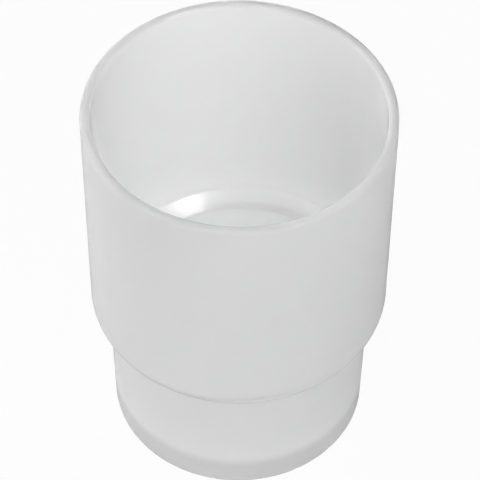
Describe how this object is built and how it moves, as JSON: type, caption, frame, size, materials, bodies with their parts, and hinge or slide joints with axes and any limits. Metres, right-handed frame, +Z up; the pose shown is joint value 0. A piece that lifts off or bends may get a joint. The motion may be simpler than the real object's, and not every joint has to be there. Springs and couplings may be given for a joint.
{
  "type": "bathroom tumbler",
  "caption": "Frosted glass bathroom tumbler with a round lip and a rounded shoulder above a narrower foot that drops through a holder's ring.",
  "frame": {"origin": "centre of the base, on the surface the tumbler stands on", "axes": "+Z up along the tumbler's axis of revolution, towards the lip; X and Y are any two directions across it, because the form is round"},
  "size_m": [0.07, 0.07, 0.0974],
  "materials": {
    "frosted_glass": "colourless pressed glass, acid-etched satin on the outside, fire-polished and smooth on the inside and over the lip"
  },
  "bodies": {
    "root": {"tumbler": "frosted_glass"}
  },
  "joints": []
}
